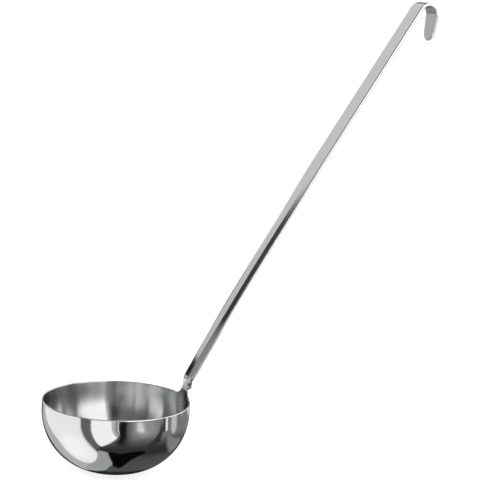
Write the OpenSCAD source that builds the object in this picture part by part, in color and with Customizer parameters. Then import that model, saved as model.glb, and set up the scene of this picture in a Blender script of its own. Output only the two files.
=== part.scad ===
// Soup ladle: a drawn bowl, a pressed strip handle with a hanging hook, and the weld between them.
// The row's origin is the centre of the hook's bend, on the ladle's plane of symmetry; Z is up,
// the bowl's axis is vertical and the handle leans towards +X.

/* [Bowl] */
// Outside diameter of the bowl at its rim
bowl_d = 140; // [120:1:180]
// Depth of the bowl from its rim to the outside of its bottom
bowl_depth = 68; // [50:0.5:76]
// Height of the upright wall below the rim
upright_h = 10; // [2:0.5:20]
// Outside radius of the bowl's flatter bottom
bottom_r = 142; // [100:1:300]
// Thickness of the bowl's sheet
bowl_t = 1.5; // [1:0.1:2.5]

/* [Ear] */
// Height of the ear above the rim, up to the weld
ear_h = 7.6; // [5:0.1:12]
// Radius of the fillets where the ear grows out of the rim
ear_fillet_r = 13; // [12.5:0.5:18]
// Width of the ear where its fillets end
ear_w = 13; // [10:0.5:18]

/* [Weld] */
// Height of the weld across the neck
weld_h = 1; // [0.6:0.1:2]
// How far the ground weld stands proud of the ear's inner face
weld_proud = 0.2; // [0.1:0.05:0.4]

/* [Handle strip] */
// Width of the strip along the gutter
strip_w = 23.5; // [20:0.5:28]
// Width of the strip at the hook, which it narrows to above the gutter
hook_w = 22.5; // [20:0.5:28]
// Thickness of the strip
strip_t = 3; // [1.5:0.1:3.2]
// Length of the handle along its face, from the weld to the hook
handle_len = 434.5; // [330:0.5:480]
// Height of the kink above the rim
kink_h = 18.5; // [17:0.5:24]
// Radius of the kink along the face
kink_r = 9; // [8:0.5:12]
// Lean of the handle just above the kink, from the bowl's axis
lean_low_deg = 29.3; // [20:0.1:40]
// Lean of the straight upper part of the handle
lean_high_deg = 32.2; // [20:0.1:45]
// Length over which the lean grows from the one to the other
bow_len = 200; // [150:5:230]

/* [Stiffening gutter] */
// Width of the flat web between the two folds
web_w = 10; // [8:0.5:12]
// Angle that the sides are bent back by along the handle
side_deg = 15; // [8:1:30]
// Angle that the sides are bent back by above the kink
side_deg_low = 22; // [15:1:35]
// Angle that the sides are bent back by at the weld
side_deg_foot = 50; // [40:1:60]
// Radius of a fold on the face side
fold_r = 3.4; // [3.3:0.1:4]
// Distance from the weld over which the sides open to their angle above the kink
gather_len = 14; // [12:1:24]
// Distance from the weld at which the sides have opened to their angle along the handle
open_len = 90; // [60:1:120]
// Distance from the weld at which the gutter starts to fade out
fade_start = 175; // [150:1:200]
// Length over which the gutter fades out to the flat strip
fade_len = 80; // [50:1:90]
// Depth of a side at the weld, from the end of its fold to its edge
side_depth_foot = 3; // [1:0.1:4]
// Distance from the weld at which the strip has its full width
taper_len = 20; // [14:1:50]

/* [Hook] */
// Inside radius of the hook's bend
hook_r = 8; // [6:0.25:12]
// Angle of the hook's bend
hook_deg = 154; // [120:1:170]
// Length of the hook's straight tail, with its rounded tip
tail_len = 25; // [16:1:32]
// Width that the tail narrows to before its half-round tip
tip_w = 19.5; // [16:0.5:20]

/* [Hidden] */

STEEL = [0.78, 0.78, 0.79];
POLISHED = [0.84, 0.84, 0.85];
WELD = [0.62, 0.62, 0.61];
RADIAN = 180 / PI;
OVERLAP = 1;

// Bowl: under its upright wall the outline turns in on one arc and closes on a flatter one
bowl_r = bowl_d / 2;
round_h = bowl_depth - upright_h;
turn_r = (2 * round_h * bottom_r - pow(bowl_r, 2) - pow(round_h, 2)) / (2 * (bottom_r - bowl_r));
turn_at = [bowl_r - turn_r, -upright_h];
bottom_at = [0, bottom_r - bowl_depth];
join_deg = atan2(turn_at[1] - bottom_at[1], turn_at[0]);
TURN_STEPS = 24;
BOTTOM_STEPS = 6;

// Ear: its width at a height above the rim, where fillets join it to the rim
ear_root = ear_w / 2 + ear_fillet_r;
ear_top_deg = acos(max(ear_fillet_r - ear_h, 0) / ear_fillet_r);
ear_top = ear_root - ear_fillet_r * sin(ear_top_deg);
EAR_STEPS = 12;

// Handle: the face is the side towards the bowl's axis, and distances run along it from the weld
foot_z = ear_h + weld_h;
face_x = bowl_r - bowl_t;
kink_start = kink_h - foot_z - kink_r * tan(lean_low_deg / 2);
kink_end = kink_start + kink_r * lean_low_deg / RADIAN;
bow_end = kink_end + bow_len;
fade_end = fade_start + fade_len;
fold_len_foot = fold_r * side_deg_foot / RADIAN;
flat_foot = ear_top - fold_r * sin(side_deg_foot) - side_depth_foot * cos(side_deg_foot);
web_w_foot = 2 * flat_foot + fold_len_foot;
strip_w_foot = web_w_foot + fold_len_foot + 2 * side_depth_foot;
FLAT_FOLD = 0.6;
FOLD_STEPS = 4;
// The swept strip is this much thinner all round than the hook's bend, and is let into it this far
LET_IN = 0.02;
LET_IN_LEN = 0.5;

// 0 below the first limit, 1 above the second, and an even rise or a smooth step between
function rise(low, high, s) = min(max((s - low) / (high - low), 0), 1);
function ease(low, high, s) = let (u = rise(low, high, s)) u * u * (3 - 2 * u);

// The lean of the face at a distance from the weld
function lean(s) =
    s < kink_start ? 0
    : s < kink_end ? (s - kink_start) / kink_r * RADIAN
    : s < bow_end ? lean_low_deg + (lean_high_deg - lean_low_deg) * (s - kink_end) / bow_len
    : lean_high_deg;

// A point of an arc that starts upright or leaning, after it has turned from one lean to another
function arc_end(start, radius, from, to) =
    start + radius * [cos(from) - cos(to), 0, sin(to) - sin(from)];

bow_r = bow_len * RADIAN / (lean_high_deg - lean_low_deg);
kink_at = [face_x, 0, foot_z + kink_start];
bow_at = arc_end(kink_at, kink_r, 0, lean_low_deg);
straight_at = arc_end(bow_at, bow_r, lean_low_deg, lean_high_deg);

// The centre of the face at a distance from the weld
function face_at(s) =
    s < kink_start ? [face_x, 0, foot_z + s]
    : s < kink_end ? arc_end(kink_at, kink_r, 0, lean(s))
    : s < bow_end ? arc_end(bow_at, bow_r, lean_low_deg, lean(s))
    : straight_at + (s - bow_end) * [sin(lean_high_deg), 0, cos(lean_high_deg)];

// The section at a distance from the weld: the web, the folds and the sides that they bend back
function side_angle(s) =
    side_deg * (1 - ease(fade_start, fade_end, s))
    + (side_deg_low - side_deg) * (1 - ease(open_len / 2, open_len, s))
    + (side_deg_foot - side_deg_low) * (1 - ease(0, gather_len, s));
function fold_len(s) = max(fold_r * side_angle(s) / RADIAN, FLAT_FOLD);
function web_half(s) = (web_w_foot + (web_w - web_w_foot) * ease(0, kink_end * 2, s)) / 2;
function strip_half(s) =
    (strip_w_foot + (strip_w - strip_w_foot) * ease(0, taper_len, s)
    - (strip_w - hook_w) * rise(fade_end, handle_len, s)) / 2;

// Steps along a fold: each entry is how far out and how far back the face has gone
function fold_step(s, k) =
    let (turn = side_angle(s) * k / FOLD_STEPS, angle = side_angle(s))
    angle < 0.01 ? [fold_len(s) * k / FOLD_STEPS, 0]
    : fold_len(s) * RADIAN / angle * [sin(turn), 1 - cos(turn)];

// Half of the section as [out, back] points: along the face, round the edge and back behind the sheet
function half_section(s) =
    let (
        angle = side_angle(s),
        flat = web_half(s) - fold_len(s) / 2,
        side = strip_half(s) - LET_IN - web_half(s) - fold_len(s) / 2,
        sheet = strip_t - 2 * LET_IN,
        face = [for (k = [0:FOLD_STEPS]) [flat, LET_IN] + fold_step(s, k)],
        behind = [for (k = [0:FOLD_STEPS]) let (turn = angle * k / FOLD_STEPS)
            face[k] + sheet * [-sin(turn), cos(turn)]],
        edge = face[FOLD_STEPS] + side * [cos(angle), sin(angle)],
        edge_behind = behind[FOLD_STEPS] + side * [cos(angle), sin(angle)]
    )
    concat(face, [edge, edge_behind], [for (k = [FOLD_STEPS:-1:0]) behind[k]]);

function section(s) =
    let (half = half_section(s), last = len(half) - 1)
    concat(half, [for (i = [last:-1:0]) [-half[i][0], half[i][1]]]);

// The section placed square to the face
function ring(s) =
    let (at = face_at(s), a = lean(s))
    [for (p = section(s)) at + [p[1] * cos(a), p[0], -p[1] * sin(a)]];

// Distances from the weld at which the strip has a ring, closer where it changes faster
FOOT_STEPS = 4;
KINK_STEPS = 6;
OPEN_STEPS = 12;
GUTTER_STEPS = 6;
FADE_STEPS = 10;
function spread(from, to, steps) = [for (i = [1:steps]) from + (to - from) * i / steps];
stations = concat(
    [0],
    spread(0, kink_start, FOOT_STEPS),
    spread(kink_start, kink_end, KINK_STEPS),
    spread(kink_end, open_len, OPEN_STEPS),
    spread(open_len, fade_start, GUTTER_STEPS),
    spread(fade_start, fade_end, FADE_STEPS),
    [handle_len + LET_IN_LEN]
);

// Hook: its centre is on the far side of the strip, away from the bowl
TIP_STEPS = 12;
hook_at = face_at(handle_len) + (strip_t + hook_r) * [cos(lean_high_deg), 0, -sin(lean_high_deg)];

// Everything is drawn from the bowl's rim centre and moved so that the hook's centre is the origin
module from_hook() {
    translate(-hook_at) children();
}

// The bowl's outline from the wall's foot to its lowest point, grown by a distance
function bowl_curve(grow) = concat(
    [for (i = [0:TURN_STEPS]) let (a = join_deg * i / TURN_STEPS)
        turn_at + (turn_r + grow) * [cos(a), sin(a)]],
    [for (i = [1:BOTTOM_STEPS]) let (a = join_deg - (90 + join_deg) * i / BOTTOM_STEPS)
        bottom_at + (bottom_r + grow) * [cos(a), sin(a)]]
);
function reversed(list) = [for (i = [len(list) - 1:-1:0]) list[i]];

// The drawn shell, with its wall carried on up to the top of the ear all round
module shell() {
    rotate_extrude($fn = 180)
        polygon(concat(
            [[bowl_r, ear_h]],
            bowl_curve(0),
            reversed(bowl_curve(-bowl_t)),
            [[bowl_r - bowl_t, ear_h]]
        ));
}

// What is kept of the shell: all below the rim, and the ear on the handle's side
module trimmed_outline() {
    fillet = [for (i = [0:EAR_STEPS]) let (a = ear_top_deg * i / EAR_STEPS)
        [ear_root - ear_fillet_r * sin(a), ear_fillet_r * (1 - cos(a))]];
    translate([0, 0, -bowl_depth - OVERLAP])
        cylinder(r = bowl_r + OVERLAP, h = bowl_depth + OVERLAP, $fn = 180);
    translate([bowl_r / 2, 0, 0]) rotate([90, 0, 90])
        linear_extrude(height = bowl_r)
            polygon(concat(
                [[ear_root, -OVERLAP]],
                fillet,
                [[ear_top, ear_h + OVERLAP], [-ear_top, ear_h + OVERLAP]],
                reversed([for (p = fillet) [-p[0], p[1]]]),
                [[-ear_root, -OVERLAP]]
            ));
}

module bowl() {
    color(STEEL) from_hook() intersection() {
        shell();
        trimmed_outline();
    }
}

// The handle up to the hook, swept along its face; its last ring is let into the hook's bend
module strip() {
    rings = [for (s = stations) ring(s)];
    count = len(rings[0]);
    last = len(rings) - 1;
    sides = [for (i = [0:last - 1], j = [0:count - 1])
        let (p = i * count + j, q = i * count + (j + 1) % count)
        each [[p, q, q + count], [p, q + count, p + count]]];
    foot_cap = [for (j = [count - 1:-1:0]) j];
    top_cap = [for (j = [0:count - 1]) last * count + j];
    polyhedron([for (r = rings) each r], concat(sides, [foot_cap], [top_cap]), convexity = 4);
}

// A frame at the hook's centre, turned so that the tail meets the bend in its X-Z plane:
// X points out through the tail's sheet, the tail runs along -Y and Z is across the strip
module at_hook() {
    translate(hook_at) rotate([90, 0, 0]) rotate([0, 0, 180 - lean_high_deg - hook_deg])
        children();
}

module hook() {
    at_hook() rotate_extrude(angle = hook_deg, $fn = 180)
        translate([hook_r, -hook_w / 2]) square([strip_t, hook_w]);
}

// The tail narrows evenly and ends in a half-round tip
module tail() {
    tip_r = tip_w / 2;
    tip = [for (i = [0:TIP_STEPS]) let (a = 90 * i / TIP_STEPS)
        [tip_r - tail_len - tip_r * sin(a), tip_r * cos(a)]];
    at_hook() translate([hook_r, 0, 0]) rotate([90, 0, 90])
        linear_extrude(height = strip_t)
            polygon(concat(
                [[0, hook_w / 2]],
                tip,
                [for (i = [TIP_STEPS - 1:-1:0]) [tip[i][0], -tip[i][1]]],
                [[0, -hook_w / 2]]
            ));
}

module handle() {
    color(POLISHED) from_hook() union() {
        strip();
        hook();
        tail();
    }
}

// The weld bead runs across the top of the ear and follows the bowl's round wall
module neck_weld() {
    color(WELD) from_hook() translate([0, 0, ear_h])
        intersection() {
            difference() {
                cylinder(r = face_x + strip_t, h = weld_h, $fn = 180);
                translate([0, 0, -OVERLAP])
                    cylinder(r = face_x - weld_proud, h = weld_h + 2 * OVERLAP, $fn = 180);
            }
            translate([bowl_r / 2, -ear_top, -OVERLAP])
                cube([bowl_r, 2 * ear_top, weld_h + 2 * OVERLAP]);
        }
}

bowl();
handle();
neck_weld();
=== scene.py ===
"""The looks of a stainless steel soup ladle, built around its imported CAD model.

The bowl, the handle and the neck weld are modelled again from the same dimensions as the CAD
solids, with the rounded rims, rolled edges and crisp folds that polished sheet has.
Everything is in metres. Shapes are worked out from the centre of the bowl's rim, as in the
part's source, and moved to the row's frame at the end.
"""

import math

import bmesh
import bpy
from mathutils import Matrix, Vector

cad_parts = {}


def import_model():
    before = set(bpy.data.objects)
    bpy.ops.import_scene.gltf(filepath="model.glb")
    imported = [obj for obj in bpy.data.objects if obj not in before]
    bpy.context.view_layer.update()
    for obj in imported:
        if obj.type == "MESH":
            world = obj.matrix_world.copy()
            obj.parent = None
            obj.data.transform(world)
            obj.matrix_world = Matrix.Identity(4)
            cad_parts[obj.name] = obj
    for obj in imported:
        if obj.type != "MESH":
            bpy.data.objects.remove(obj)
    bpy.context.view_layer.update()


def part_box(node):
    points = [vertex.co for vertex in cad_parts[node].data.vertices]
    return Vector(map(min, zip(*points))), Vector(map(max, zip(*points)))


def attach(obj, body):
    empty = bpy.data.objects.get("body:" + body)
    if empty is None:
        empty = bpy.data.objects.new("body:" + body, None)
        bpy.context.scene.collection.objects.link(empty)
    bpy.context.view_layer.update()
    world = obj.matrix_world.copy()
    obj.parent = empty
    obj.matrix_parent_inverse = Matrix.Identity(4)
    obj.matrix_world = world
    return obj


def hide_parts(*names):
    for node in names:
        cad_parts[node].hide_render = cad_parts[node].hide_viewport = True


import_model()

MM = 0.001

# Bowl
BOWL_DEPTH = 68 * MM
UPRIGHT_H = 10 * MM
BOTTOM_R = 142 * MM
BOWL_T = 1.5 * MM
EAR_H = 7.6 * MM
EAR_FILLET_R = 13 * MM
EAR_W = 13 * MM
RIM_ROUND = 0.74 * MM

# Weld: its ends are blunter than round above a power of 2, and its section is squarer than
# round below a power of 1
WELD_H = 1.0 * MM
WELD_PROUD = 0.2 * MM
BEAD_ENDS = 6
BEAD_THINNEST = 0.02
BEAD_SIDES = 0.35
BEAD_TOP = 0.6

# Handle
STRIP_W = 23.5 * MM
HOOK_W = 22.5 * MM
STRIP_T = 3.0 * MM
HANDLE_LEN = 434.5 * MM
KINK_H = 18.5 * MM
KINK_R = 9 * MM
LEAN_LOW = math.radians(29.3)
LEAN_HIGH = math.radians(32.2)
BOW_LEN = 200 * MM
WEB_W = 10 * MM
SIDE = math.radians(15)
SIDE_LOW = math.radians(22)
SIDE_FOOT = math.radians(50)
FOLD_R = 3.4 * MM
GATHER_LEN = 14 * MM
OPEN_LEN = 90 * MM
FADE_START = 175 * MM
FADE_LEN = 80 * MM
SIDE_DEPTH_FOOT = 3.0 * MM
TAPER_LEN = 20 * MM
EDGE_ROUND = 1.1 * MM
FLAT_FOLD = 0.6 * MM

# Hook
HOOK_R = 8 * MM
HOOK_TURN = math.radians(154)
TAIL_LEN = 25 * MM
TIP_W = 19.5 * MM

# How finely the shapes are divided
FLAT_STEPS = 3
FOLD_STEPS = 6
EDGE_STEPS = 6
STATION_STEP = 2 * MM
FOOT_STEPS = 6
KINK_STEPS = 14
GATHER_STEPS = 16
BEND_STEPS = 60
TAIL_STEPS = 10
TIP_STEPS = 40
TURN_STEPS = 40
BOTTOM_STEPS = 12
WALL_STEPS = 5
RIM_STEPS = 5
EAR_STEPS = 90
REST_STEPS = 320
BEAD_ACROSS = 40
BEAD_AROUND = 20
MERGE_DISTANCE = 1e-7
SHARP_ANGLE = math.radians(40)
LEAST_FOLD = 1e-4

# The frame gives the rim's centre, its radius and the lowest point
bowl_low, bowl_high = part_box("bowl")
BOWL_R = (bowl_high.y - bowl_low.y) / 2
RIM_CENTRE = Vector((bowl_low.x + BOWL_R, 0, bowl_low.z + BOWL_DEPTH))
FLOOR_Z = bowl_low.z

# Camera, from the fit to the photograph: it looks at the rim's centre at an azimuth and an
# elevation, and then turns so that the rim's centre is at its pixel
PHOTO = 480
CAMERA_AZIMUTH = math.radians(18.37)
CAMERA_ELEVATION = math.radians(15.74)
CAMERA_ROLL = math.radians(2.22)
CAMERA_DISTANCE = 1.5
FOCAL_PIXELS = 1569.96
RIM_PIXEL = (116.27, 399.78)
SENSOR = 36
CAMERA_REACH = 200


def rise(low, high, s):
    """0 below the first limit, 1 above the second and an even rise between."""
    return min(max((s - low) / (high - low), 0), 1)


def ease(low, high, s):
    """0 below the first limit, 1 above the second and a smooth step between."""
    u = rise(low, high, s)
    return u * u * (3 - 2 * u)


def spread(start, end, steps):
    """Evenly spaced values after start, up to and with end."""
    return [start + (end - start) * (i + 1) / steps for i in range(steps)]


# Bowl: an upright wall, one arc that turns in under it and a flatter arc across the bottom
ROUND_H = BOWL_DEPTH - UPRIGHT_H
TURN_R = (2 * ROUND_H * BOTTOM_R - BOWL_R**2 - ROUND_H**2) / (2 * (BOTTOM_R - BOWL_R))
TURN_AT = (BOWL_R - TURN_R, -UPRIGHT_H)
BOTTOM_AT = (0.0, BOTTOM_R - BOWL_DEPTH)
JOIN = math.atan2(TURN_AT[1] - BOTTOM_AT[1], TURN_AT[0])
EAR_ROOT = EAR_W / 2 + EAR_FILLET_R
EAR_TOP_TURN = math.acos((EAR_FILLET_R - EAR_H) / EAR_FILLET_R)
EAR_TOP = EAR_ROOT - EAR_FILLET_R * math.sin(EAR_TOP_TURN)

# Handle: distances run along its face from the weld
FOOT_Z = EAR_H + WELD_H
FACE_X = BOWL_R - BOWL_T
KINK_START = KINK_H - FOOT_Z - KINK_R * math.tan(LEAN_LOW / 2)
KINK_END = KINK_START + KINK_R * LEAN_LOW
WEB_END = 2 * KINK_END
BOW_END = KINK_END + BOW_LEN
BOW_R = BOW_LEN / (LEAN_HIGH - LEAN_LOW)
FADE_END = FADE_START + FADE_LEN
FOLD_LEN_FOOT = FOLD_R * SIDE_FOOT
FLAT_FOOT = EAR_TOP - FOLD_R * math.sin(SIDE_FOOT) - SIDE_DEPTH_FOOT * math.cos(SIDE_FOOT)
WEB_W_FOOT = 2 * FLAT_FOOT + FOLD_LEN_FOOT
STRIP_W_FOOT = WEB_W_FOOT + FOLD_LEN_FOOT + 2 * SIDE_DEPTH_FOOT
BEND_R = HOOK_R + STRIP_T
BEND_END = HANDLE_LEN + BEND_R * HOOK_TURN
TIP_R = TIP_W / 2
TIP_AT = BEND_END + TAIL_LEN - TIP_R


def direction(lean):
    """Along the handle, away from the bowl."""
    return Vector((math.sin(lean), 0, math.cos(lean)))


def backwards(lean):
    """Into the sheet, away from the face."""
    return Vector((math.cos(lean), 0, -math.sin(lean)))


def arc_end(start, radius, lean_from, lean_to):
    """Where an arc of the face ends."""
    return start + radius * (backwards(lean_from) - backwards(lean_to))


KINK_AT = Vector((FACE_X, 0, FOOT_Z + KINK_START))
BOW_AT = arc_end(KINK_AT, KINK_R, 0, LEAN_LOW)
STRAIGHT_AT = arc_end(BOW_AT, BOW_R, LEAN_LOW, LEAN_HIGH)
BEND_AT = STRAIGHT_AT + (HANDLE_LEN - BOW_END) * direction(LEAN_HIGH)
TAIL_LEAN = LEAN_HIGH + HOOK_TURN
TAIL_AT = arc_end(BEND_AT, BEND_R, LEAN_HIGH, TAIL_LEAN)


def path(s):
    """The centre of the face and its lean at a distance from the weld, on round to the tip."""
    if s < KINK_START:
        return Vector((FACE_X, 0, FOOT_Z + s)), 0.0
    if s < KINK_END:
        lean = (s - KINK_START) / KINK_R
        return arc_end(KINK_AT, KINK_R, 0, lean), lean
    if s < BOW_END:
        lean = LEAN_LOW + (s - KINK_END) / BOW_R
        return arc_end(BOW_AT, BOW_R, LEAN_LOW, lean), lean
    if s < HANDLE_LEN:
        return STRAIGHT_AT + (s - BOW_END) * direction(LEAN_HIGH), LEAN_HIGH
    if s < BEND_END:
        lean = LEAN_HIGH + (s - HANDLE_LEN) / BEND_R
        return arc_end(BEND_AT, BEND_R, LEAN_HIGH, lean), lean
    return TAIL_AT + (s - BEND_END) * direction(TAIL_LEAN), TAIL_LEAN


def side_angle(s):
    """How far the sides are folded back."""
    return (
        SIDE * (1 - ease(FADE_START, FADE_END, s))
        + (SIDE_LOW - SIDE) * (1 - ease(OPEN_LEN / 2, OPEN_LEN, s))
        + (SIDE_FOOT - SIDE_LOW) * (1 - ease(0, GATHER_LEN, s))
    )


def web_half(s):
    """Half the width between the middles of the two folds."""
    return (WEB_W_FOOT + (WEB_W - WEB_W_FOOT) * ease(0, WEB_END, s)) / 2


def strip_half(s):
    """Half the width of the strip as laid out flat."""
    width = STRIP_W_FOOT + (STRIP_W - STRIP_W_FOOT) * ease(0, TAPER_LEN, s)
    width -= (STRIP_W - HOOK_W) * rise(FADE_END, HANDLE_LEN, s)
    width -= (HOOK_W - TIP_W) * rise(BEND_END, TIP_AT, s)
    return width / 2


# Meshes
def half_section(s):
    """Half of the strip's section from the middle of its face, round its edge to the middle of
    its back, as (out, back) points with the edge's corners rounded."""
    angle = max(side_angle(s), LEAST_FOLD)
    fold_len = max(FOLD_R * angle, FLAT_FOLD)
    fold_r = fold_len / angle
    flat = web_half(s) - fold_len / 2
    side = strip_half(s) - web_half(s) - fold_len / 2
    out = Vector((math.cos(angle), math.sin(angle)))
    inward = Vector((-math.sin(angle), math.cos(angle)))

    def fold(k, depth):
        turn = angle * k / FOLD_STEPS
        radius = fold_r - depth
        return Vector((flat + radius * math.sin(turn), fold_r - radius * math.cos(turn)))

    def surface(depth):
        """From the middle over the fold, and the point where the edge's rounding starts."""
        points = [Vector((flat * k / FLAT_STEPS, depth)) for k in range(FLAT_STEPS)]
        points += [fold(k, depth) for k in range(FOLD_STEPS + 1)]
        corner = points[-1] + (side - EDGE_ROUND) * out
        points += [points[-1].lerp(corner, k / FLAT_STEPS) for k in range(1, FLAT_STEPS)]
        return points, corner

    def rounding(corner, into):
        """A quarter circle from a corner, out to the strip's edge."""
        turns = [math.pi / 2 * k / EDGE_STEPS for k in range(EDGE_STEPS + 1)]
        return [corner + EDGE_ROUND * (math.sin(turn) * out + (1 - math.cos(turn)) * into)
                for turn in turns]

    face, corner = surface(0)
    back, back_corner = surface(STRIP_T)
    edge = rounding(corner, inward) + rounding(back_corner, -inward)[::-1]
    return face + edge + back[::-1]


def loft(mesh, rings, closed):
    """Joins each ring of vertices to the next with quads."""
    for a, b in zip(rings, rings[1:]):
        count = len(a)
        for j in range(count if closed else count - 1):
            k = (j + 1) % count
            mesh.faces.new((a[j], b[j], b[k], a[k]))


def finish_mesh(mesh, name, node, materials):
    """Turns a bmesh round the rim's centre into a piece that stands for its CAD node."""
    bmesh.ops.remove_doubles(mesh, verts=mesh.verts, dist=MERGE_DISTANCE)
    bmesh.ops.recalc_face_normals(mesh, faces=mesh.faces)
    bmesh.ops.translate(mesh, verts=mesh.verts, vec=RIM_CENTRE)
    data = bpy.data.meshes.new(name)
    mesh.to_mesh(data)
    mesh.free()
    piece = bpy.data.objects.new(name, data)
    bpy.context.collection.objects.link(piece)
    for material in materials:
        data.materials.append(material)
    data.shade_smooth()
    data.set_sharp_from_angle(angle=SHARP_ANGLE)
    normals = piece.modifiers.new("Even normals", "WEIGHTED_NORMAL")
    normals.keep_sharp = True
    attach(piece, "root")
    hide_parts(node)


def handle_stations():
    """Distances along the handle at which its section is drawn."""
    return (
        [0.0]
        + spread(0, KINK_START, FOOT_STEPS)
        + spread(KINK_START, KINK_END, KINK_STEPS)
        + spread(KINK_END, WEB_END, GATHER_STEPS)
        + spread(WEB_END, FADE_END, round((FADE_END - WEB_END) / STATION_STEP))
        + spread(FADE_END, HANDLE_LEN, round((HANDLE_LEN - FADE_END) / STATION_STEP))
        + spread(HANDLE_LEN, BEND_END, BEND_STEPS)
        + spread(BEND_END, TIP_AT, TAIL_STEPS)
    )


def build_handle(material):
    """The strip, as its section swept along the path, and its half-round tip."""
    mesh = bmesh.new()
    rings = []
    for s in handle_stations():
        at, lean = path(s)
        half = half_section(s)
        outline = [(p.x, p.y) for p in half] + [(-p.x, p.y) for p in half[-2:0:-1]]
        rings.append([mesh.verts.new(at + Vector((0, out, 0)) + back * backwards(lean))
                      for out, back in outline])
    loft(mesh, rings, closed=True)
    mesh.faces.new(rings[0])
    # The tip is the last section turned about the tip's centre
    at, lean = path(TIP_AT)
    half = half_section(TIP_AT)
    fans = []
    for i in range(TIP_STEPS + 1):
        turn = math.pi * i / TIP_STEPS
        along = math.sin(turn) * direction(lean) + math.cos(turn) * Vector((0, 1, 0))
        fans.append([mesh.verts.new(at + p.x * along + p.y * backwards(lean)) for p in half])
    loft(mesh, fans, closed=False)
    finish_mesh(mesh, "strip_handle", "handle", [material])


def bowl_curve(grow):
    """The bowl's outline from the wall's foot to its lowest point, as (radius, height)."""
    points = []
    for i in range(TURN_STEPS + 1):
        a = JOIN * i / TURN_STEPS
        points.append((TURN_AT[0] + (TURN_R + grow) * math.cos(a),
                       TURN_AT[1] + (TURN_R + grow) * math.sin(a)))
    for i in range(1, BOTTOM_STEPS + 1):
        a = JOIN - (math.pi / 2 + JOIN) * i / BOTTOM_STEPS
        points.append((BOTTOM_AT[0] + (BOTTOM_R + grow) * math.cos(a),
                       BOTTOM_AT[1] + (BOTTOM_R + grow) * math.sin(a)))
    return points


def ear_height(y):
    """Height of the bowl's edge above its rim, at a distance from the plane of symmetry."""
    y = abs(y)
    if y <= EAR_TOP:
        return EAR_H
    if y >= EAR_ROOT:
        return 0.0
    turn = math.asin((EAR_ROOT - y) / EAR_FILLET_R)
    return EAR_FILLET_R * (1 - math.cos(turn))


def bowl_angles():
    """Angles round the bowl, closer together across the ear."""
    ear = math.asin(EAR_ROOT / BOWL_R)
    fine = [ear * i / EAR_STEPS for i in range(-EAR_STEPS, EAR_STEPS + 1)]
    rest = spread(ear, 2 * math.pi - ear, REST_STEPS)[:-1]
    return fine + rest


def build_bowl(outside, inside):
    """The bowl's shell with its rounded rim and its ear, as a column of points at each angle."""
    mesh = bmesh.new()
    outer = bowl_curve(0)[::-1]
    inner = bowl_curve(-BOWL_T)
    rings = []
    for phi in bowl_angles():
        top = ear_height(BOWL_R * math.sin(phi)) if math.cos(phi) > 0 else 0.0
        shoulder = top - RIM_ROUND
        column = outer[1:]
        column += [(BOWL_R, -UPRIGHT_H + (shoulder + UPRIGHT_H) * k / WALL_STEPS)
                   for k in range(1, WALL_STEPS + 1)]
        for k in range(1, RIM_STEPS + 1):
            a = math.pi / 2 * k / RIM_STEPS
            column.append((BOWL_R - RIM_ROUND + RIM_ROUND * math.cos(a),
                           shoulder + RIM_ROUND * math.sin(a)))
        for k in range(RIM_STEPS + 1):
            a = math.pi / 2 * k / RIM_STEPS
            column.append((FACE_X + RIM_ROUND - RIM_ROUND * math.sin(a),
                           shoulder + RIM_ROUND * math.cos(a)))
        column += [(FACE_X, shoulder - (shoulder + UPRIGHT_H) * k / WALL_STEPS)
                   for k in range(1, WALL_STEPS)]
        column += inner[:-1]
        rings.append([mesh.verts.new((r * math.cos(phi), r * math.sin(phi), z))
                      for r, z in column])
    loft(mesh, rings + [rings[0]], closed=False)
    outer_pole = mesh.verts.new((0, 0, outer[0][1]))
    inner_pole = mesh.verts.new((0, 0, inner[-1][1]))
    for a, b in zip(rings, rings[1:] + [rings[0]]):
        mesh.faces.new((outer_pole, b[0], a[0]))
        mesh.faces.new((inner_pole, a[-1], b[-1]))
    # Faces nearer to the inner surface than to the outer one are the satin inside
    for face in mesh.faces:
        centre = face.calc_center_median()
        distance = shell_distance(math.hypot(centre.x, centre.y), centre.z)
        face.material_index = 1 if distance < -BOWL_T / 2 else 0
    finish_mesh(mesh, "bowl_shell", "bowl", [outside, inside])


def shell_distance(radius, z):
    """How far a point lies outside the bowl's outer surface; negative is within."""
    if z > -UPRIGHT_H:
        return radius - BOWL_R
    a = math.atan2(z - TURN_AT[1], radius - TURN_AT[0])
    if a >= JOIN:
        return math.hypot(radius - TURN_AT[0], z - TURN_AT[1]) - TURN_R
    return math.hypot(radius, z - BOTTOM_AT[1]) - BOTTOM_R


def build_weld(material):
    """A ground bead across the top of the ear, a little proud of the ear's inner face."""
    mesh = bmesh.new()
    rings = []
    inner_r = FACE_X - WELD_PROUD
    outer_r = FACE_X + STRIP_T
    for i in range(BEAD_ACROSS + 1):
        share = 2 * i / BEAD_ACROSS - 1
        shrink = math.sqrt(max(1 - abs(share) ** BEAD_ENDS, BEAD_THINNEST))
        phi = math.asin(EAR_TOP * share / FACE_X)
        ring = []
        for k in range(BEAD_AROUND):
            a = 2 * math.pi * k / BEAD_AROUND
            u = math.copysign(abs(math.cos(a)) ** BEAD_SIDES, math.cos(a))
            v = math.copysign(abs(math.sin(a)) ** BEAD_TOP, math.sin(a))
            radius = (inner_r + outer_r) / 2 + (outer_r - inner_r) / 2 * u * shrink
            z = EAR_H + WELD_H / 2 + WELD_H / 2 * v
            ring.append(mesh.verts.new((radius * math.cos(phi), radius * math.sin(phi), z)))
        rings.append(ring)
    loft(mesh, rings, closed=True)
    mesh.faces.new(rings[0])
    mesh.faces.new(rings[-1])
    finish_mesh(mesh, "neck_weld_bead", "neck_weld", [material])


# Materials
MIRROR = (0.632, 0.64, 0.644)
SATIN = (0.61, 0.62, 0.618)
GROUND = (0.5, 0.5, 0.48)

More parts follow.
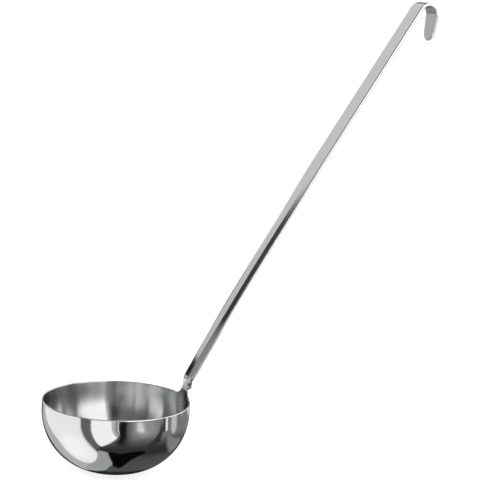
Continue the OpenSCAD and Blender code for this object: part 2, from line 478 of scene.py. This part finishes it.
# Textures of the polish and of the satin: scales are counts per metre, a span is the part of a
# texture's values that goes from the least to the most rough, and a shade is how dark the
# darkest tone is
CLOUD_SCALE = 55.0
HAIR_SCALE = 900.0
SWELL_SCALE = 38.0
POLISH_SPAN = (0.15, 0.4)
POLISH_SHADE = 0.93
GRAIN_SCALE = 2600.0
GRAIN_ALONG = 0.35
SATIN_CLOUD_SCALE = 45.0
SATIN_SPAN = (0.6, 1.4)
SATIN_SHADE = 0.9


class Nodes:
    """Short calls for building a node tree."""

    def __init__(self, owner):
        owner.use_nodes = True
        self.tree = owner.node_tree
        self.tree.nodes.clear()

    def add(self, kind, inputs=None, **settings):
        """A node with some of its inputs linked or set, as {input: socket or value}."""
        node = self.tree.nodes.new(kind)
        for key, value in settings.items():
            setattr(node, key, value)
        for key, value in (inputs or {}).items():
            if isinstance(value, bpy.types.NodeSocket):
                self.tree.links.new(value, node.inputs[key])
            else:
                node.inputs[key].default_value = value
        return node

    def math(self, operation, a, b=0.0):
        """The result of one step of arithmetic."""
        return self.add("ShaderNodeMath", {0: a, 1: b}, operation=operation).outputs[0]

    def ramp(self, factor, stops):
        """A grey that follows (position, value) stops."""
        node = self.add("ShaderNodeValToRGB", {"Fac": factor})
        ramp = node.color_ramp
        while len(ramp.elements) < len(stops):
            ramp.elements.new(1.0)
        for element, (position, value) in zip(ramp.elements, stops):
            element.position = position
            element.color = (value, value, value, 1)
        return node.outputs["Color"]

    def map_range(self, value, low, high, to_low=0.0, to_high=1.0, kind="LINEAR"):
        """A value taken from one range to another."""
        node = self.add("ShaderNodeMapRange",
                        {"Value": value, "From Min": low, "From Max": high,
                         "To Min": to_low, "To Max": to_high}, interpolation_type=kind)
        return node.outputs[0]

    def bump(self, height, distance, below=None):
        """A normal raised by a texture, over the normal of another bump where there is one."""
        inputs = {"Height": height, "Strength": 1.0, "Distance": distance}
        if below:
            inputs["Normal"] = below
        return self.add("ShaderNodeBump", inputs).outputs[0]

    def shade(self, factor, colour, share):
        """The colour where the factor is 1, and that share of it where the factor is 0."""
        node = self.add("ShaderNodeMix", data_type="RGBA")
        sockets = [i for i in node.inputs if i.enabled and i.type == "RGBA"]
        sockets[0].default_value = (*(c * share for c in colour), 1)
        sockets[1].default_value = (*colour, 1)
        self.tree.links.new(factor, node.inputs[0])
        return [o for o in node.outputs if o.type == "RGBA"][0]

    def from_rim(self, place):
        """A place from the rim's centre as x, y and z, and its distance from the bowl's axis."""
        centred = self.add("ShaderNodeVectorMath", {0: place, 1: -RIM_CENTRE}, operation="ADD")
        axes = self.add("ShaderNodeSeparateXYZ", {0: centred.outputs[0]})
        x, y, z = (axes.outputs[i] for i in range(3))
        squares = self.math("ADD", self.math("MULTIPLY", x, x), self.math("MULTIPLY", y, y))
        return x, y, z, self.math("SQRT", squares)

    def seen(self):
        """1 for what the camera sees directly or in the steel, and 0 for what lights things."""
        ray = self.add("ShaderNodeLightPath").outputs
        mirrored = self.math("MAXIMUM", ray["Is Glossy Ray"], ray["Is Transmission Ray"])
        return self.math("MAXIMUM", ray["Is Camera Ray"], mirrored)


def polished_steel(name, colour, rough, stretch, scratch_depth, wave_depth):
    """Polished stainless steel: its polish varies, and fine scratches lie along one axis."""
    material = bpy.data.materials.new(name)
    n = Nodes(material)
    place = n.add("ShaderNodeTexCoord").outputs["Object"]
    cloud = n.add("ShaderNodeTexNoise", {"Vector": place, "Scale": CLOUD_SCALE, "Detail": 5.0})
    stretched = n.add("ShaderNodeMapping", {"Vector": place, "Scale": stretch})
    hair = n.add("ShaderNodeTexNoise", {"Vector": stretched.outputs[0], "Scale": HAIR_SCALE,
                                        "Detail": 3.0, "Roughness": 0.7})
    swell = n.add("ShaderNodeTexNoise", {"Vector": place, "Scale": SWELL_SCALE, "Detail": 1.0})
    mixed = n.math("MULTIPLY", cloud.outputs["Fac"], hair.outputs["Fac"])
    waves = n.bump(swell.outputs["Fac"], wave_depth)
    shader = n.add("ShaderNodeBsdfPrincipled",
                   {"Base Color": n.shade(cloud.outputs["Fac"], colour, POLISH_SHADE),
                    "Metallic": 1.0, "Roughness": n.map_range(mixed, *POLISH_SPAN, *rough),
                    "Normal": n.bump(hair.outputs["Fac"], scratch_depth, waves)})
    n.add("ShaderNodeOutputMaterial", {"Surface": shader.outputs[0]})
    return material


def turned_steel(name, colour, rough, depth):
    """Satin stainless steel with fine grain that runs round the bowl's axis."""
    material = bpy.data.materials.new(name)
    n = Nodes(material)
    place = n.add("ShaderNodeTexCoord").outputs["Object"]
    x, y, z, radius = n.from_rim(place)
    polar = n.add("ShaderNodeCombineXYZ",
                  {0: n.math("MULTIPLY", n.math("ARCTAN2", y, x), GRAIN_ALONG),
                   1: n.math("MULTIPLY", radius, GRAIN_SCALE),
                   2: n.math("MULTIPLY", z, GRAIN_SCALE)})
    grain = n.add("ShaderNodeTexNoise",
                  {"Vector": polar.outputs[0], "Scale": 1.0, "Detail": 4.0, "Roughness": 0.65})
    cloud = n.add("ShaderNodeTexNoise",
                  {"Vector": place, "Scale": SATIN_CLOUD_SCALE, "Detail": 4.0})
    mixed = n.math("ADD", cloud.outputs["Fac"], grain.outputs["Fac"])
    tangent = n.add("ShaderNodeTangent", direction_type="RADIAL", axis="Z")
    shader = n.add("ShaderNodeBsdfPrincipled",
                   {"Base Color": n.shade(grain.outputs["Fac"], colour, SATIN_SHADE),
                    "Metallic": 1.0, "Roughness": n.map_range(mixed, *SATIN_SPAN, *rough),
                    "Anisotropic": 1.0, "Anisotropic Rotation": 0.25,
                    "Normal": n.bump(grain.outputs["Fac"], depth),
                    "Tangent": tangent.outputs[0]})
    n.add("ShaderNodeOutputMaterial", {"Surface": shader.outputs[0]})
    return material


# Which part of a card with a soft edge covers what is under it, as a value of its mesh's points
COVER = "cover"


def glowing(name, build):
    """A material whose strength build(nodes) gives."""
    material = bpy.data.materials.new(name)
    n = Nodes(material)
    glow = n.add("ShaderNodeEmission", {"Strength": build(n)})
    n.add("ShaderNodeOutputMaterial", {"Surface": glow.outputs[0]})
    return material


def glowing_with_soft_edge(name, build):
    """The same, but clear where the cover is 0."""
    material = bpy.data.materials.new(name)
    n = Nodes(material)
    cover = n.add("ShaderNodeAttribute", attribute_name=COVER).outputs["Fac"]
    clear = n.add("ShaderNodeBsdfTransparent")
    glow = n.add("ShaderNodeEmission", {"Strength": build(n)})
    both = n.add("ShaderNodeMixShader", {0: n.map_range(cover, 0.0, 1.0, kind="SMOOTHSTEP"),
                                         1: clear.outputs[0], 2: glow.outputs[0]})
    n.add("ShaderNodeOutputMaterial", {"Surface": both.outputs[0]})
    return material


# Stage
def stage_object(name, mesh, material):
    """A thing that the ladle reflects but that neither shows nor lights anything else."""
    data = bpy.data.meshes.new(name)
    mesh.to_mesh(data)
    mesh.free()
    data.materials.append(material)
    thing = bpy.data.objects.new(name, data)
    bpy.context.collection.objects.link(thing)
    thing.visible_camera = False
    thing.visible_diffuse = False
    thing.visible_transmission = False
    thing.visible_volume_scatter = False
    thing.visible_shadow = False
    return thing


# Brightness of the mat on the table by the distance from the bowl's axis in millimetres; its dark
# middle under the bowl is a painted shadow for the outside to reflect
MAT = [(0, 0.02), (36, 0.02), (42, 0.11), (68, 0.1), (80, 0.04), (100, 0.05), (125, 0.14),
       (160, 0.26), (340, 0.28)]
MAT_R = 340

# Cards that lie on the mat, in order, for the bowl's outside to reflect: brightness, the width
# of the soft edge as a share of the distance from the bowl's axis, and corners as (x, y) in
# millimetres from that axis
TABLE_CARDS = [
    ("behind", 0.02, 0.1, [(-95, 330), (-55, 120), (90, 120), (170, 170), (260, 330)]),
    ("left_dim", 0.62, 0.1,
     [(-400, 300), (-110, 300), (-92, 166), (-78, 62), (-60, 15), (-46, -2), (-32, -14),
      (-30, -35), (-50, -66), (-116, -76), (-290, -118), (-400, -150)]),
    ("left", 1.25, 0.08,
     [(-400, 250), (-150, 230), (-150, 154), (-120, 53), (-96, 10), (-69, -13), (-52, -24),
      (-42, -34), (-40, -51), (-50, -66), (-80, -69), (-116, -76), (-196, -97), (-290, -118),
      (-400, -150)]),
    ("left_hot", 1.42, 0.35,
     [(-46, -46), (-58, -62), (-105, -66), (-150, -40), (-130, 0), (-90, 0), (-60, -20)]),
    ("stripe", 0.17, 0.05,
     [(-54, -74), (-80, -76), (-116, -80), (-196, -101), (-330, -135), (-330, -230), (-224, -172),
      (-127, -114), (-79, -88), (-57, -80)]),
    ("front_shade", 0.03, 0.25,
     [(-60, -330), (2, -330), (-4, -265), (0, -161), (-6, -105), (-34, -105), (-40, -200)]),
    ("front", 1.4, 0.04,
     [(-250, -200), (-135, -320), (-114, -272), (-91, -230), (-56, -173), (-40, -152),
      (-43, -134), (-48, -109), (-53, -94), (-57, -84), (-79, -92), (-127, -120), (-204, -168)]),
    ("crescent", 0.62, 0.02,
     [(-135, -310), (-92, -310), (-85, -264), (-64, -220), (-39, -168), (-40, -152), (-56, -173),
      (-91, -232), (-109, -254)]),
    ("crescent_edge", 1.2, 0.01,
     [(-78, -310), (-70, -310), (-66, -266), (-49, -225), (-36, -165), (-50, -206), (-72, -264)]),
    ("crescent_dark", 0.01, 0.08,
     [(-64, -310), (-30, -310), (-24, -265), (-14, -161), (-22, -118), (-34, -118), (-28, -143),
      (-46, -207), (-63, -267)]),
    ("grey", 0.5, 0.04,
     [(-53, -70), (-45, -74), (-36, -76), (-30, -67), (-22, -58), (-19, -54), (-21, -46),
      (-21, -39), (-29, -27), (-37, -18), (-40, -31), (-39, -51)]),
    ("black", 0.004, 0.03,
     [(-35, -77), (-29, -68), (-21, -58), (-17, -50), (-9, -48), (-5, -55), (1, -64), (6, -68),
      (15, -73), (26, -75), (30, -82), (14, -86), (-3, -85), (-15, -79), (-29, -79)]),
    ("haze", 0.42, 0.25,
     [(20, -200), (60, -300), (150, -280), (170, -200), (110, -150), (45, -140)]),
    ("highlight", 1.05, 0.25, [(52, -262), (72, -275), (88, -250), (75, -205), (55, -200)]),
    ("spot", 0.01, 0.12, [(62, -92), (70, -86), (80, -90), (84, -106), (72, -106)]),
    ("curve", 0.05, 0.08,
     [(180, -175), (95, -118), (43, -94), (20, -90), (30, -82), (50, -82), (104, -104),
      (195, -158)]),
    ("line_dark", 0.05, 0.02, [(240, -188), (255, -166), (137, -108), (128, -118)]),
    ("right", 0.75, 0.1, [(320, -55), (320, -125), (171, -88), (118, -56), (167, -48)]),
    ("right_low", 0.3, 0.15, [(60, -30), (75, -60), (120, -85), (104, -48), (110, 0), (85, 0)]),
    ("line", 1.3, 0.015, [(262, -172), (272, -158), (159, -104), (137, -105), (145, -112)]),
    ("right_far", 0.8, 0.02, [(320, 0), (320, 24), (240, 12), (240, 2)]),
    ("right_rim", 0.9, 0.1, [(190, 80), (310, 140), (260, 200), (170, 140)]),
]

# Cards on the table far behind, for the hook's inside and the neck to reflect
FAR_CARDS = [
    ("far", 0.34, 0.02, [(-2000, 420), (900, 420), (9000, 5000), (9000, 19000), (-9000, 19000)]),
    ("far_dark", 0.03, 0.1, [(330, 500), (600, 560), (1500, 1800), (800, 2000)]),
    ("neck_light", 0.55, 0.05, [(-75, 262), (15, 262), (20, 315), (-80, 315)]),
]
CARD_STEP = 0.3 * MM
CUT = 0.2
CUT_ROUNDS = 2
MAT_SIDES = 64
MAT_FEATHER = 0.01


def smoothed(corners):
    """The same outline with its corners cut off again and again."""
    for _ in range(CUT_ROUNDS):
        cut = []
        for a, b in zip(corners, corners[1:] + corners[:1]):
            cut += [a.lerp(b, CUT), a.lerp(b, 1 - CUT)]
        corners = cut
    return corners


def flat_card(name, build, feather, points, height):
    """A card lying on the table, with its corners as (x, y) in millimetres from the bowl's axis,
    that fades out across its edge."""
    mesh = bmesh.new()
    cover = mesh.verts.layers.float.new(COVER)
    corners = smoothed([Vector(p) * MM for p in points])
    turning = sum(a.x * b.y - a.y * b.x for a, b in zip(corners, corners[1:] + corners[:1]))
    side = math.copysign(1, turning)
    rings = []
    # The soft edge lies half within the outline, where it covers, and half beyond it
    for share, weight in ((-0.5, 1.0), (0.5, 0.0)):
        ring = []
        for i, corner in enumerate(corners):
            before = (corner - corners[i - 1]).normalized()
            after = (corners[(i + 1) % len(corners)] - corner).normalized()
            along = (before + after).normalized()
            outward = Vector((along.y, -along.x)) * side
            at = corner + outward * (share * feather * corner.length)
            vert = mesh.verts.new((RIM_CENTRE.x + at.x, at.y, FLOOR_Z + height))
            vert[cover] = weight
            ring.append(vert)
        rings.append(ring)
    mesh.faces.new(rings[0])
    loft(mesh, rings, closed=True)
    stage_object(name, mesh, glowing_with_soft_edge(name, build))


def table_cards():
    """A mat round the bowl with soft cards on it, which the polished outside reflects."""
    def mat(n):
        place = n.add("ShaderNodeNewGeometry").outputs["Position"]
        radius = n.from_rim(place)[3]
        share = n.math("DIVIDE", radius, MAT_R * MM)
        return n.ramp(share, [(r / MAT_R, value) for r, value in MAT])

    turns = [2 * math.pi * i / MAT_SIDES for i in range(MAT_SIDES)]
    ring = [(MAT_R * math.cos(a), MAT_R * math.sin(a)) for a in turns]
    flat_card("mat", mat, MAT_FEATHER, ring, CARD_STEP)
    for i, (name, strength, feather, points) in enumerate(TABLE_CARDS + FAR_CARDS):
        flat_card(name, lambda n, value=strength: value, feather, points, CARD_STEP * (i + 2))


# Brightness of the tent round the ladle by azimuth in degrees: 0 is +Y, behind the ladle, 90 is
# +X, on the handle's side, and 180 is -Y, on the camera's side. The second list is for higher up
TENT_LOW = [(-180, 1.2), (-176, 0.6), (-171, 0.0), (-165, 0.0), (-159, 0.5), (-150, 0.9),
            (-133, 0.62), (-127, 1.4), (-121, 0.35), (-113, 0.18), (-109, 0.0), (-105, 0.0),
            (-101, 0.65), (-91, 0.5), (-86, 0.25), (-83, 0.0), (-77, 0.0), (-73, 0.7),
            (-64, 0.6), (-57, 0.15), (-55, 0.02), (-47, 0.1), (-40, 0.3), (-25, 0.7),
            (10, 0.8), (26, 0.1), (40, 0.1), (72, 2.4), (106, 2.4), (120, 0.4), (137, 4.6),
            (170, 4.4)]
TENT_HIGH = [(-180, 1.5), (-175, 0.4), (-168, 0.01), (-160, 0.02), (-150, 0.16), (-135, 0.12),
             (-125, 0.15), (-105, 0.08), (-95, 0.2), (-86, 0.4), (-80, 0.8), (-75, 0.7),
             (-71, 0.5), (-67, 0.35), (-57, 0.15), (-55, 0.02), (-47, 0.1), (-40, 0.3),
             (-25, 0.8), (10, 0.9), (26, 0.1), (40, 0.1), (72, 1.4), (106, 1.7), (122, 0.4),
             (137, 1.6)]
HIGH_FROM = math.radians(6)
HIGH_TO = math.radians(22)
# The tent's top is one bright cloth
TOP_FROM = math.radians(55)
TOP_TO = math.radians(65)
TOP = 1.6
# A dark cloth over the tent behind the ladle, 0 where it hides the tent
SHADE = [(-180, 1), (-48, 1), (-40, 0), (14, 0), (22, 1)]
SHADE_FROM = math.radians(32)
SHADE_TO = math.radians(38)
TENT_R = 20
TENT_FOOT = -0.3 * TENT_R
TENT_ROUND = 96
TENT_UP = 48


def tent():
    """A light tent far round the ladle, with dark gaps that folds and edges reflect."""
    def build(n):
        place = n.add("ShaderNodeNewGeometry").outputs["Position"]
        x, y, height, radius = n.from_rim(place)
        turns = n.math("DIVIDE", n.math("ARCTAN2", x, y), 2 * math.pi)
        azimuth = n.math("ADD", turns, 0.5)
        elevation = n.math("ARCTAN2", height, radius)

        def by_azimuth(stops):
            most = max(value for _, value in stops)
            grey = n.ramp(azimuth, [((a + 180) / 360, value / most) for a, value in stops])
            return n.math("MULTIPLY", grey, most)

        def by_elevation(start, end, below, above):
            share = n.map_range(elevation, start, end, kind="SMOOTHSTEP")
            return n.math("ADD", n.math("MULTIPLY", below, n.math("SUBTRACT", 1.0, share)),
                          n.math("MULTIPLY", above, share))

        side = by_elevation(HIGH_FROM, HIGH_TO, by_azimuth(TENT_LOW), by_azimuth(TENT_HIGH))
        bright = by_elevation(TOP_FROM, TOP_TO, side, TOP)
        shade = by_elevation(SHADE_FROM, SHADE_TO, 1.0, by_azimuth(SHADE))
        return n.math("MULTIPLY", bright, shade)

    mesh = bmesh.new()
    bmesh.ops.create_uvsphere(mesh, u_segments=TENT_ROUND, v_segments=TENT_UP, radius=TENT_R)
    under = [v for v in mesh.verts if v.co.z < TENT_FOOT]
    bmesh.ops.delete(mesh, geom=under, context="VERTS")
    stage_object("tent", mesh, glowing("tent", build)).location = RIM_CENTRE


# An upright dark card behind the ladle for the foot of the handle's web to reflect, with its
# corners in millimetres from the rim's centre
NECK_CARD = [(-95, 270, 66), (5, 270, 66), (5, 270, 90), (-95, 270, 90)]
NECK_CARD_GLOW = 0.01


def neck_card():
    """The card as one face."""
    mesh = bmesh.new()
    mesh.faces.new([mesh.verts.new(RIM_CENTRE + Vector(corner) * MM) for corner in NECK_CARD])
    stage_object("neck_web", mesh, glowing("neck_web", lambda n: NECK_CARD_GLOW))


FLOOR_SIZE = 40
FLOOR_GREY = 0.4
FLOOR_GLOW = 0.85
WORLD_LIGHT = 0.55
WORLD_SEEN = 1.0
WHITE = (1, 1, 1, 1)


def floor():
    """A pale floor that stays white for the camera but keeps a faint shadow."""
    bpy.ops.mesh.primitive_plane_add(size=FLOOR_SIZE, location=(0, 0, FLOOR_Z))
    plane = bpy.context.object
    plane.name = "floor"
    material = bpy.data.materials.new("floor")
    n = Nodes(material)
    matt = n.add("ShaderNodeBsdfDiffuse", {"Color": (FLOOR_GREY, FLOOR_GREY, FLOOR_GREY, 1)})
    strength = n.math("MULTIPLY", n.seen(), FLOOR_GLOW)
    glow = n.add("ShaderNodeEmission", {"Color": WHITE, "Strength": strength})
    both = n.add("ShaderNodeAddShader", {0: matt.outputs[0], 1: glow.outputs[0]})
    n.add("ShaderNodeOutputMaterial", {"Surface": both.outputs[0]})
    plane.data.materials.append(material)


def world():
    """White where it is seen or reflected, and a soft plain light elsewhere."""
    studio = bpy.data.worlds.new("studio")
    bpy.context.scene.world = studio
    n = Nodes(studio)
    strength = n.map_range(n.seen(), 0.0, 1.0, WORLD_LIGHT, WORLD_SEEN)
    shade = n.add("ShaderNodeBackground", {"Color": WHITE, "Strength": strength})
    n.add("ShaderNodeOutputWorld", {"Surface": shade.outputs[0]})


# Lamps: name, place and aim from the rim's centre, size, watts, and whether the steel mirrors
# it. The last one is small and stands over the bowl's mouth, for the neck's front face.
LAMPS = [
    ("key", (-0.9, -0.7, 1.3), (0, 0, 0), 0.9, 14, False),
    ("fill", (1.0, -0.6, 1.0), (0, 0, 0), 0.9, 6, False),
    ("neck", (0.06, 0.014, 0.0085), (0.072, 0, 0.0095), 0.01, 0.00017, True),
]


def lamps():
    """Square area lamps, which the camera doesn't see."""
    for name, place, aim, size, watts, mirrored in LAMPS:
        data = bpy.data.lights.new(name, "AREA")
        data.shape = "SQUARE"
        data.size = size
        data.energy = watts
        lamp = bpy.data.objects.new(name, data)
        bpy.context.collection.objects.link(lamp)
        lamp.location = RIM_CENTRE + Vector(place)
        lamp.rotation_mode = "QUATERNION"
        lamp.rotation_quaternion = (Vector(aim) - Vector(place)).to_track_quat("-Z", "Y")
        lamp.visible_camera = False
        lamp.visible_glossy = mirrored


def camera():
    """The fitted camera, which has the rim's centre at its pixel of the photograph."""
    t, e = CAMERA_AZIMUTH, CAMERA_ELEVATION
    back = Vector((-math.sin(t) * math.cos(e), -math.cos(t) * math.cos(e), math.sin(e)))
    right = Vector((0, 0, 1)).cross(back).normalized()
    up = back.cross(right)
    aim = Matrix((right, up, back))
    roll = Matrix.Rotation(-CAMERA_ROLL, 3, "Z")
    half = PHOTO / 2
    ray = Vector(((RIM_PIXEL[0] - half) / FOCAL_PIXELS, (half - RIM_PIXEL[1]) / FOCAL_PIXELS, -1))
    turn = Vector((0, 0, -1)).rotation_difference(ray.normalized()).to_matrix()
    data = bpy.data.cameras.new("camera")
    data.sensor_width = SENSOR
    data.lens = SENSOR * FOCAL_PIXELS / PHOTO
    data.clip_end = CAMERA_REACH
    eye = bpy.data.objects.new("camera", data)
    bpy.context.collection.objects.link(eye)
    eye.rotation_mode = "QUATERNION"
    eye.rotation_quaternion = (turn @ roll @ aim).transposed().to_quaternion()
    eye.location = RIM_CENTRE + CAMERA_DISTANCE * back
    bpy.context.scene.camera = eye


camera()
world()
floor()
table_cards()
tent()
neck_card()
lamps()

outside = polished_steel("bowl_outside", MIRROR, rough=(0.05, 0.12), stretch=(1, 1, 1),
                         scratch_depth=0.4e-6, wave_depth=12e-6)
inside = turned_steel("bowl_inside", SATIN, rough=(0.16, 0.19), depth=0.3e-6)
strip = polished_steel("handle_polished", MIRROR, rough=(0.06, 0.14), stretch=(1, 0.04, 1),
                       scratch_depth=0.4e-6, wave_depth=4e-6)
weld = polished_steel("weld_ground", GROUND, rough=(0.25, 0.4), stretch=(1, 0.2, 1),
                      scratch_depth=3e-6, wave_depth=12e-6)
build_bowl(outside, inside)
build_handle(strip)
build_weld(weld)

bpy.context.scene.view_settings.view_transform = "Standard"
